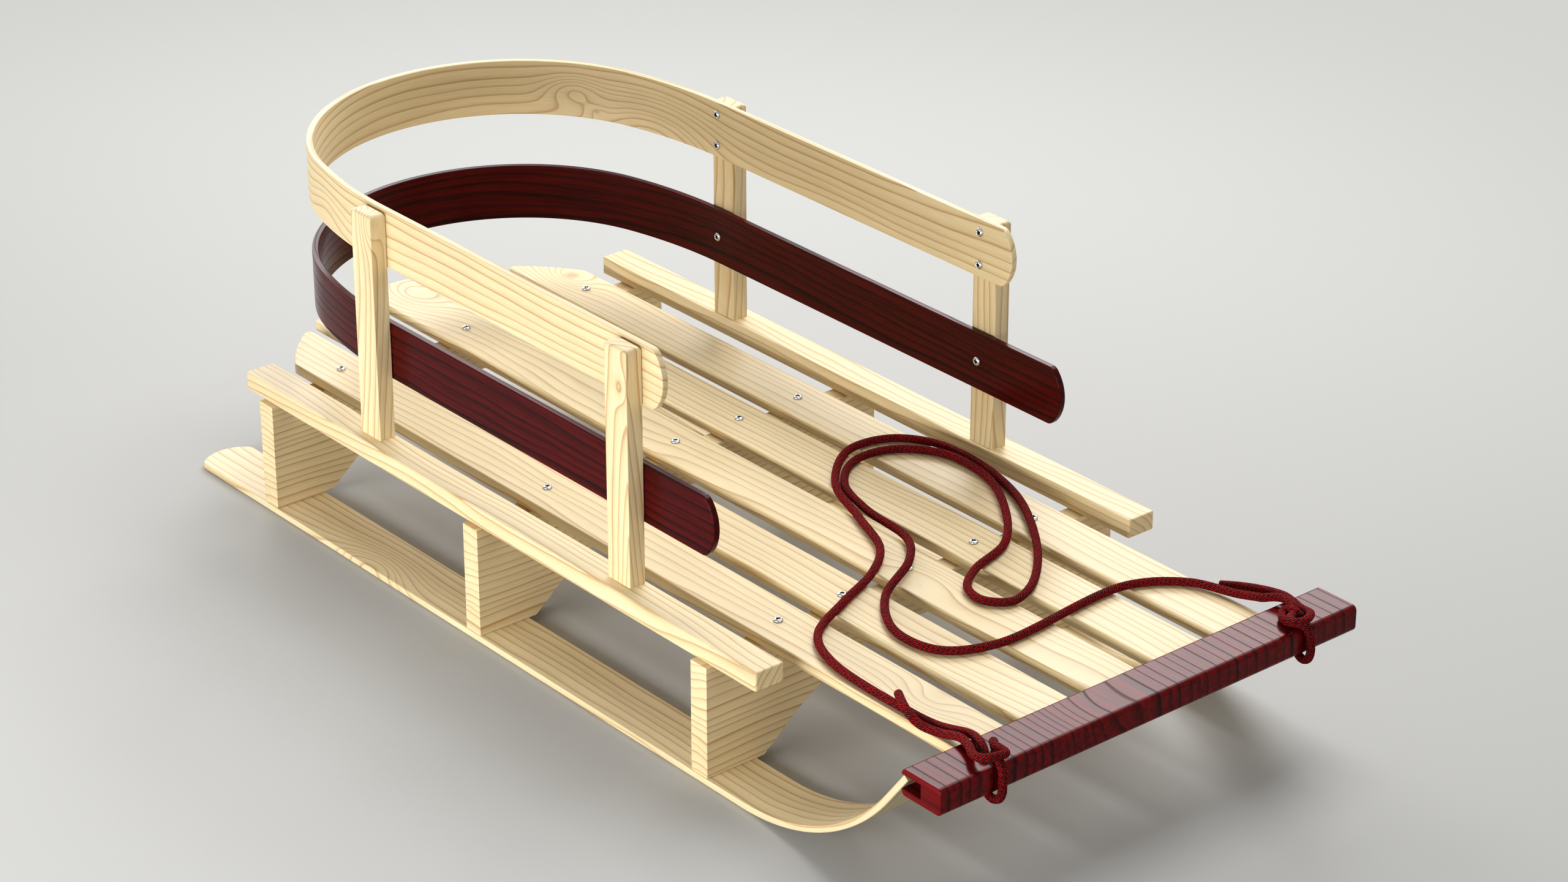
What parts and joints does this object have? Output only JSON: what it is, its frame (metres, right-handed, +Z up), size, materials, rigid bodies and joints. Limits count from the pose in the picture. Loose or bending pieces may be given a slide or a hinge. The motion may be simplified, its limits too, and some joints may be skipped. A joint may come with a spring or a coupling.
{
  "type": "wooden pull sledge",
  "caption": "Pale wood pull sledge with steam-bent runners, arched bolsters, a slatted deck, bent hoops on posts as a back, a red grooved front bar and a braided tow rope.",
  "frame": {"origin": "on the floor under the middle of the sledge: half of its length and half of its width, at the runners' underside", "axes": "+X to the rider's left, +Y to the rear (the front bar is at -Y), +Z up"},
  "size_m": [0.3842, 0.8968, 0.2895],
  "materials": {
    "pale_wood": "clear satin varnish over pale wood",
    "red_lacquer": "dark red gloss lacquer on wood",
    "chrome_screw": "bright plated dome head",
    "zinc_steel": "zinc plated",
    "red_cord": "braided cord, red with dark flecks"
  },
  "bodies": {
    "root": {"runner_left": "pale_wood", "runner_screw_left_front": "zinc_steel", "runner_screw_left_middle": "zinc_steel", "runner_screw_left_rear": "zinc_steel", "runner_right": "pale_wood", "runner_screw_right_front": "zinc_steel", "runner_screw_right_middle": "zinc_steel", "runner_screw_right_rear": "zinc_steel", "bolster_front": "pale_wood", "bolster_middle": "pale_wood", "bolster_rear": "pale_wood", "front_bar": "red_lacquer", "deck_slat_1": "pale_wood", "deck_screw_1_front": "chrome_screw", "deck_screw_1_middle": "chrome_screw", "deck_screw_1_rear": "chrome_screw", "deck_slat_2": "pale_wood", "deck_screw_2_front": "chrome_screw", "deck_screw_2_middle": "chrome_screw", "deck_screw_2_rear": "chrome_screw", "deck_slat_3": "pale_wood", "deck_screw_3_front": "chrome_screw", "deck_screw_3_middle": "chrome_screw", "deck_screw_3_rear": "chrome_screw", "deck_slat_4": "pale_wood", "deck_screw_4_front": "chrome_screw", "deck_screw_4_middle": "chrome_screw", "deck_screw_4_rear": "chrome_screw", "deck_slat_5": "pale_wood", "deck_screw_5_front": "chrome_screw", "deck_screw_5_middle": "chrome_screw", "deck_screw_5_rear": "chrome_screw", "rail_left": "pale_wood", "rail_dowel_left_front": "pale_wood", "rail_dowel_left_rear": "pale_wood", "rail_right": "pale_wood", "rail_dowel_right_front": "pale_wood", "rail_dowel_right_rear": "pale_wood", "upper_hoop": "pale_wood", "lower_hoop": "red_lacquer", "post_left_front": "pale_wood", "hoop_screw_left_front_upper": "chrome_screw", "hoop_screw_left_front_second": "chrome_screw", "hoop_screw_left_front_lower": "chrome_screw", "post_left_rear": "pale_wood", "hoop_screw_left_rear_upper": "chrome_screw", "hoop_screw_left_rear_second": "chrome_screw", "hoop_screw_left_rear_lower": "chrome_screw", "post_right_front": "pale_wood", "hoop_screw_right_front_upper": "chrome_screw", "hoop_screw_right_front_second": "chrome_screw", "hoop_screw_right_front_lower": "chrome_screw", "post_right_rear": "pale_wood", "hoop_screw_right_rear_upper": "chrome_screw", "hoop_screw_right_rear_second": "chrome_screw", "hoop_screw_right_rear_lower": "chrome_screw", "tow_rope": "red_cord", "rope_knot_right": "red_cord", "rope_knot_left": "red_cord"}
  },
  "joints": []
}
